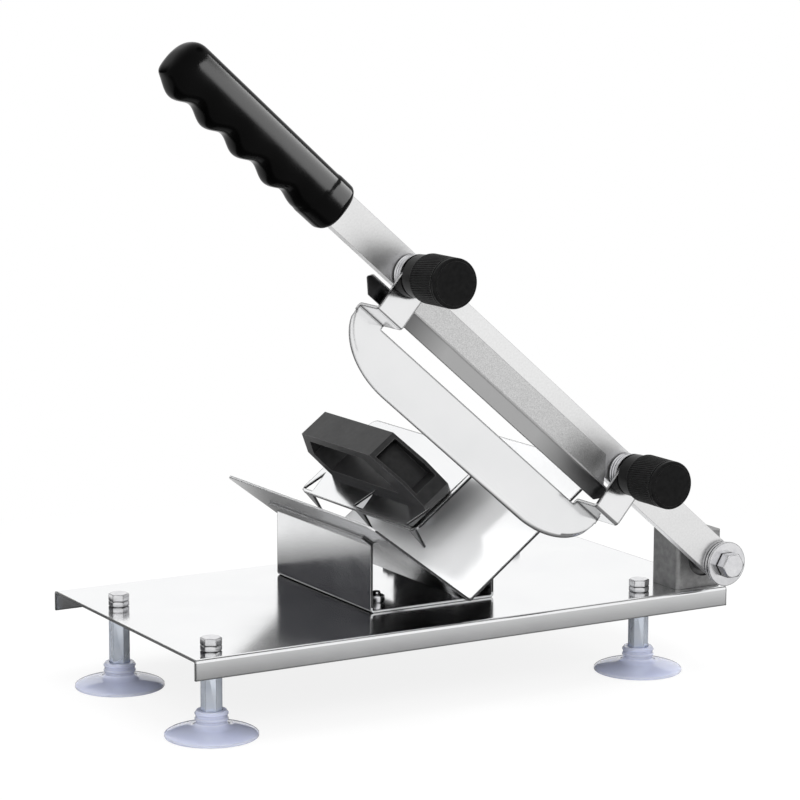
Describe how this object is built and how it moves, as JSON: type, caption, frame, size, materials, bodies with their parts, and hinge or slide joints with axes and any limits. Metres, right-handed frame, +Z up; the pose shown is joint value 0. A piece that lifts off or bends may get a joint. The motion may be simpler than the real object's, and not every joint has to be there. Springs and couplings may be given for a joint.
{
  "type": "hand lever meat slicer",
  "caption": "Bench slicer for frozen meat: folded sheet base on suction feet, V-shaped meat tray with a pusher, and a lever that swings a straight blade.",
  "frame": {"origin": "middle of the whole object's footprint, at the level of the bench", "axes": "+X to the right along the base towards the pivot, +Y away from the user, +Z up"},
  "size_m": [0.3614, 0.2646, 0.3634],
  "materials": {
    "mirror_sheet": "mirror-polished stainless sheet",
    "blade_steel": "polished blade steel",
    "lever_steel": "satin zinc-plated steel with fine grain",
    "stop_steel": "satin stainless, dark",
    "plated_steel": "bright zinc-plated fasteners",
    "blue_zinc": "bluish bright zinc plating",
    "spring_steel": "bright spring wire",
    "cast_alloy": "rough cast aluminium",
    "dark_steel": "black oxide",
    "bush_bronze": "plain bearing bronze",
    "insert_brass": "turned brass",
    "grip_plastic": "glossy black moulding",
    "knob_plastic": "satin black moulding, knurled",
    "handle_plastic": "satin charcoal moulding",
    "clear_pvc": "clear soft vinyl"
  },
  "bodies": {
    "base": {"base_plate": "mirror_sheet", "tray_bracket": "mirror_sheet", "bracket_screws": "plated_steel", "bracket_nuts": "plated_steel", "meat_tray": "mirror_sheet", "pivot_block": "cast_alloy", "block_bolts": "plated_steel", "block_washers": "plated_steel", "pivot_bolt": "plated_steel", "pivot_front_washer": "plated_steel", "pivot_lock_washer": "dark_steel", "pivot_rear_washer": "plated_steel", "pivot_spacer": "plated_steel", "pivot_back_washer": "plated_steel", "pivot_nut": "plated_steel", "foot_bolts": "plated_steel", "foot_nuts": "plated_steel", "foot_post_fl": "blue_zinc", "foot_post_fr": "blue_zinc", "foot_post_bl": "blue_zinc", "foot_post_br": "blue_zinc", "suction_cup_fl": "clear_pvc", "suction_cup_fr": "clear_pvc", "suction_cup_bl": "clear_pvc", "suction_cup_br": "clear_pvc", "cup_studs": "plated_steel"},
    "lever": {"arm_bush": "bush_bronze", "lever_arm": "lever_steel", "grip": "grip_plastic", "stop_bar": "stop_steel", "upper_stud": "plated_steel", "lower_stud": "plated_steel", "stud_nuts": "plated_steel", "upper_spring": "spring_steel", "lower_spring": "spring_steel"},
    "blade": {"slicing_blade": "blade_steel", "upper_ear_washer": "plated_steel", "lower_ear_washer": "plated_steel"},
    "upper_knob": {"upper_knob": "knob_plastic", "upper_insert": "insert_brass", "upper_cap": "knob_plastic"},
    "lower_knob": {"lower_knob": "knob_plastic", "lower_insert": "insert_brass", "lower_cap": "knob_plastic"},
    "pusher": {"pusher_plate": "mirror_sheet", "pusher_handle": "handle_plastic", "pusher_screws": "plated_steel"}
  },
  "joints": [
    {"name": "lever_swing", "type": "hinge", "parent": "base", "child": "lever", "pos_m": [0.16802, -0.0837, 0.0634], "axis": [0, 1, 0], "range_deg": [-22.5, 44]},
    {"name": "blade_shift", "type": "slide", "parent": "lever", "child": "blade", "axis": [0, -1, 0], "range_m": [0, 0.01], "deforming": ["upper_spring", "lower_spring"]},
    {"name": "upper_knob_turn", "type": "hinge", "parent": "blade", "child": "upper_knob", "pos_m": [-0.0385, -0.1057, 0.24041], "axis": [0, -1, 0], "range_deg": [0, 2881]},
    {"name": "lower_knob_turn", "type": "hinge", "parent": "blade", "child": "lower_knob", "pos_m": [0.09931, -0.1057, 0.1223], "axis": [0, -1, 0], "range_deg": [0, 2881]},
    {"name": "pusher_slide", "type": "slide", "parent": "base", "child": "pusher", "axis": [0, -1, 0], "range_m": [-0.015, 0.062]}
  ],
  "couplings": [
    {"joint": "upper_knob_turn", "follows": "blade_shift", "rad_per_m": 5026.5},
    {"joint": "lower_knob_turn", "follows": "blade_shift", "rad_per_m": 5026.5}
  ]
}
